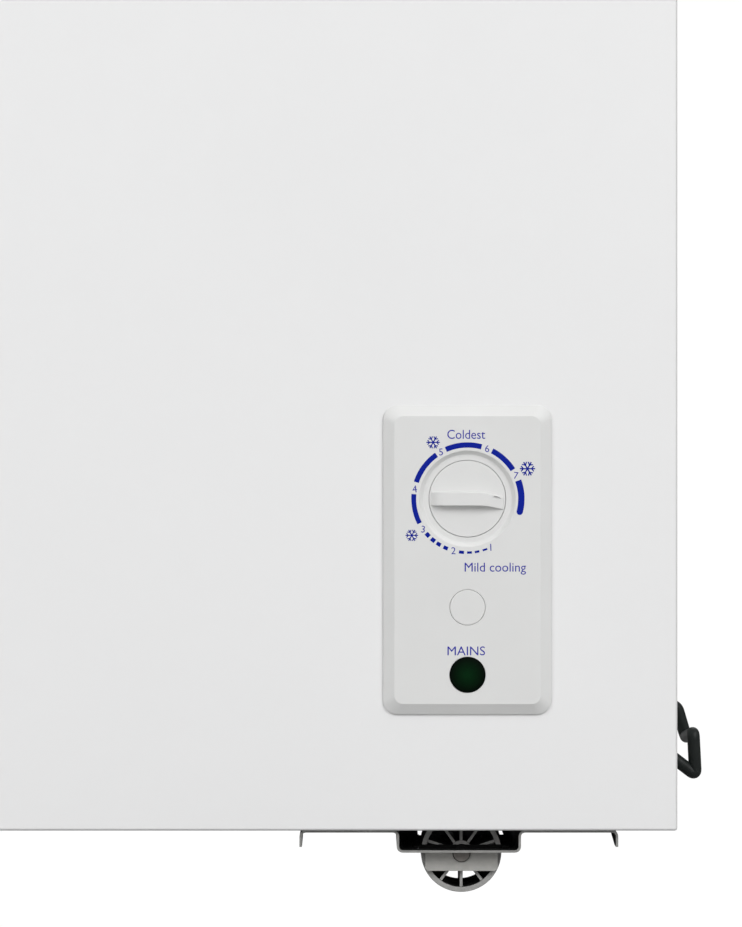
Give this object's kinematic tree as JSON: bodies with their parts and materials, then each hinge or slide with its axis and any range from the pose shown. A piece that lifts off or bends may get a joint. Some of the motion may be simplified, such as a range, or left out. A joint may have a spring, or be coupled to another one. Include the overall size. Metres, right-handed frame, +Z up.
{
  "type": "chest freezer",
  "caption": "White chest freezer with a hinged lid, a front control panel with dial, a sliding wire basket and roller casters.",
  "frame": {"origin": "middle of the whole freezer's footprint, on the floor it stands on", "axes": "+Z up, front faces -Y, +X to the right of a person facing the front"},
  "size_m": [1.1592, 0.6884, 0.8501],
  "materials": {
    "white_paint": "satin",
    "white_plastic": "satin",
    "liner_plastic": "satin",
    "galvanised_sheet": "satin",
    "insulation_foam": "matte",
    "grey_plastic": "matte",
    "black_plastic": "matte",
    "bare_steel": "satin",
    "black_paint": "satin",
    "copper": "satin",
    "black_coated_rod": "satin",
    "green_lens": "gloss",
    "gasket_rubber": "matte",
    "white_wire": "gloss",
    "black_rubber": "matte",
    "black_bracket": "satin",
    "roller_plastic": "matte"
  },
  "bodies": {
    "cabinet": {"base_pan": "galvanised_sheet", "blank_plug": "white_plastic", "caster_axle_front_left": "bare_steel", "caster_axle_front_right": "bare_steel", "caster_axle_rear_left": "bare_steel", "caster_axle_rear_right": "bare_steel", "caster_bracket_front_left": "black_bracket", "caster_bracket_front_right": "black_bracket", "caster_bracket_rear_left": "black_bracket", "caster_bracket_rear_right": "black_bracket", "caster_carrier_front_left": "bare_steel", "caster_carrier_front_right": "bare_steel", "caster_carrier_rear_left": "bare_steel", "caster_carrier_rear_right": "bare_steel", "compartment_lining": "galvanised_sheet", "compressor_cover": "galvanised_sheet", "compressor_foot_1": "black_rubber", "compressor_foot_2": "black_rubber", "compressor_foot_3": "black_rubber", "compressor_foot_4": "black_rubber", "compressor_mount_plate": "black_paint", "compressor_shell": "black_paint", "condenser_coil": "bare_steel", "control_bezel": "white_plastic", "cord_inlet_gland": "black_plastic", "cord_wrap_loop": "black_coated_rod", "discharge_pipe": "copper", "drain_tube": "grey_plastic", "evaporator_coil": "bare_steel", "filter_drier": "copper", "foam_body": "insulation_foam", "hinge_bracket_left": "galvanised_sheet", "hinge_bracket_right": "galvanised_sheet", "hinge_pin_left": "bare_steel", "hinge_pin_right": "bare_steel", "inner_liner": "liner_plastic", "outer_wrap": "white_paint", "pilot_lamp_body": "black_plastic", "pilot_lens": "green_lens", "rear_panel": "galvanised_sheet", "side_vent_grille": "white_plastic", "start_relay_box": "black_plastic", "suction_pipe": "copper", "thermostat_body": "grey_plastic", "top_breaker_collar": "white_plastic"},
    "lid": {"lid_outer_skin": "white_paint", "lid_inner_panel": "liner_plastic", "lid_foam": "insulation_foam", "lid_gasket": "gasket_rubber", "lid_handle": "white_plastic", "hinge_leaf_left": "galvanised_sheet", "hinge_leaf_right": "galvanised_sheet"},
    "knob": {"thermostat_knob": "white_plastic"},
    "basket": {"wire_basket": "white_wire"},
    "drain_stopper": {"drain_plug": "black_rubber"},
    "roller_front_left": {"caster_wheel_front_left": "roller_plastic"},
    "roller_front_right": {"caster_wheel_front_right": "roller_plastic"},
    "roller_rear_left": {"caster_wheel_rear_left": "roller_plastic"},
    "roller_rear_right": {"caster_wheel_rear_right": "roller_plastic"}
  },
  "joints": [
    {"name": "lid_hinge", "type": "hinge", "parent": "cabinet", "child": "lid", "pos_m": [-0.02062, 0.33615, 0.8001], "axis": [-1, 0, 0], "range_deg": [0, 85]},
    {"name": "knob_turn", "type": "hinge", "parent": "cabinet", "child": "knob", "pos_m": [0.40578, -0.31785, 0.24945], "axis": [0, 1, 0], "range_deg": [-295, 15]},
    {"name": "basket_slide", "type": "slide", "parent": "cabinet", "child": "basket", "axis": [1, 0, 0], "range_m": [-0.72, 0]},
    {"name": "drain_plug_pull", "type": "slide", "parent": "cabinet", "child": "drain_stopper", "axis": [0, 0, 1], "range_m": [0, 0.04]},
    {"name": "roller_spin_front_left", "type": "hinge", "parent": "cabinet", "child": "roller_front_left", "pos_m": [-0.44002, -0.28185, 0.0255], "axis": [0, 1, 0], "continuous": true},
    {"name": "roller_spin_front_right", "type": "hinge", "parent": "cabinet", "child": "roller_front_right", "pos_m": [0.40278, -0.28185, 0.0255], "axis": [0, 1, 0], "continuous": true},
    {"name": "roller_spin_rear_left", "type": "hinge", "parent": "cabinet", "child": "roller_rear_left", "pos_m": [-0.44402, 0.28615, 0.0255], "axis": [0, 1, 0], "continuous": true},
    {"name": "roller_spin_rear_right", "type": "hinge", "parent": "cabinet", "child": "roller_rear_right", "pos_m": [0.39878, 0.28615, 0.0255], "axis": [0, 1, 0], "continuous": true}
  ]
}
